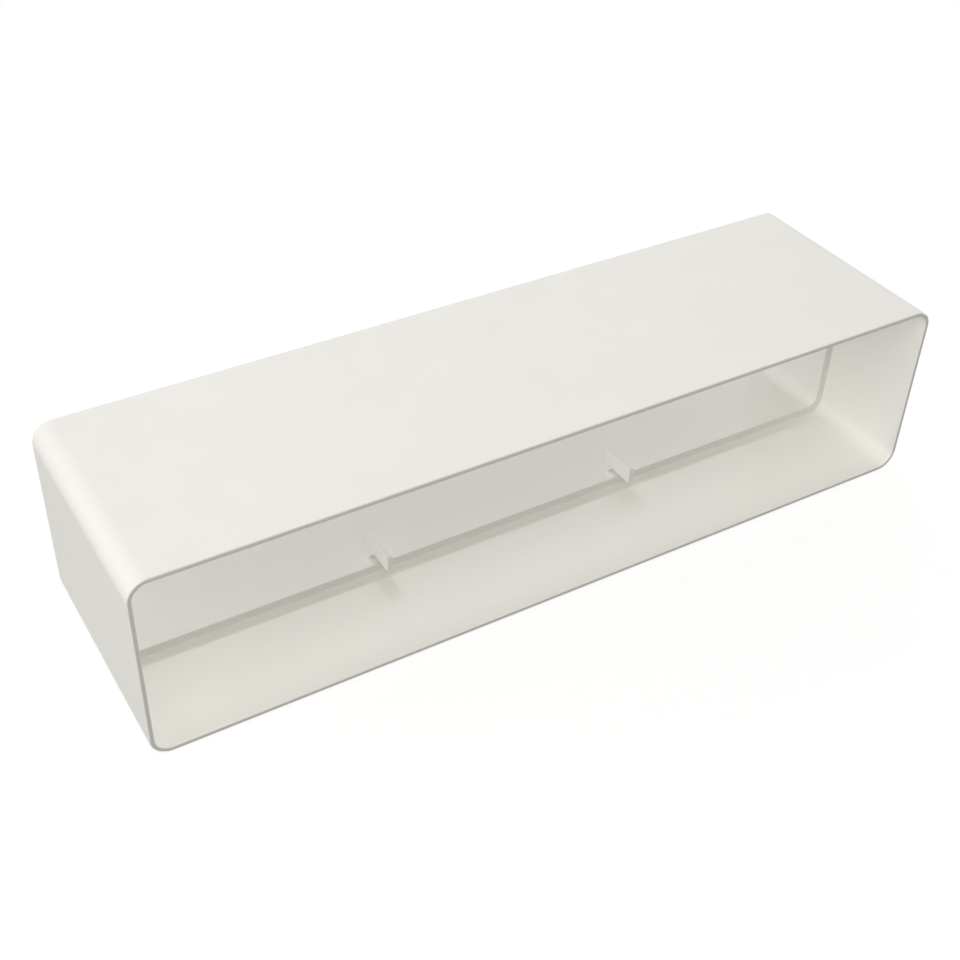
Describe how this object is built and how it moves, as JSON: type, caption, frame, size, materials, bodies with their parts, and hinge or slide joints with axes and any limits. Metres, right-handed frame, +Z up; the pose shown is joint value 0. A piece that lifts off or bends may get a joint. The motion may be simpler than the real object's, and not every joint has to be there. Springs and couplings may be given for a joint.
{
  "type": "rectangular duct connector",
  "caption": "Plain moulded sleeve that joins two flat rectangular ventilation ducts end to end, with a stop rib at mid depth and small guide fins inside.",
  "frame": {"origin": "middle of the bottom face, on the plane that the connector rests on", "axes": "+X across the duct's width, +Y along the air flow from the front mouth to the back mouth, +Z up"},
  "size_m": [0.25, 0.0702, 0.0583],
  "materials": {
    "body": "warm white moulded plastic with a soft satin surface"
  },
  "bodies": {
    "root": {"connector_sleeve": "body"}
  },
  "joints": []
}
